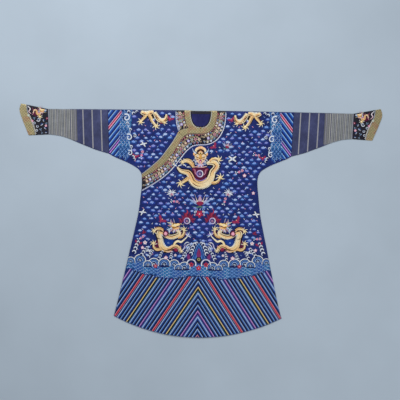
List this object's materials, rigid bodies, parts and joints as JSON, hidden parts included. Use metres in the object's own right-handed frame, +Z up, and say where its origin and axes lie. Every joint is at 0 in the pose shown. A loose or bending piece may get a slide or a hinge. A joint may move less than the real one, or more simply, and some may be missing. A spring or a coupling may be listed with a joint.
{
  "type": "chinese dragon robe",
  "caption": "Long-sleeved formal robe laid flat on its back, with a curved side-fastening front, banded neck, ribbed lower sleeves and flared horseshoe cuffs.",
  "frame": {"origin": "on the surface the robe lies on, at the centre of its bounding box", "axes": "+X towards the wearer's left sleeve, +Y from the hem to the neck, +Z up out of the front"},
  "size_m": [2.18, 1.39, 0.016],
  "materials": {
    "blue_silk": "satin",
    "navy_silk": "satin",
    "ribbed_silk": "satin",
    "gold_brocade": "satin",
    "dark_band": "satin",
    "lining_silk": "satin",
    "facing_silk": "satin",
    "gilt": "polished"
  },
  "bodies": {
    "root": {"body_left": "blue_silk", "body_right": "blue_silk", "outer_front": "blue_silk", "sleeve_left": "navy_silk", "sleeve_right": "navy_silk", "ribbed_sleeve_left": "ribbed_silk", "ribbed_sleeve_right": "ribbed_silk", "cuff_left": "dark_band", "cuff_right": "dark_band", "cuff_binding_left": "gold_brocade", "cuff_binding_right": "gold_brocade", "neck_binding_left": "gold_brocade", "neck_binding_right": "gold_brocade", "collar_left": "dark_band", "collar_right": "dark_band", "lapel_binding": "gold_brocade", "lapel_band": "dark_band", "neck_lining": "lining_silk", "neck_facing": "facing_silk", "neck_button": "gilt", "neck_loop": "gold_brocade", "lapel_button": "gilt", "lapel_loop": "gold_brocade"}
  },
  "joints": []
}
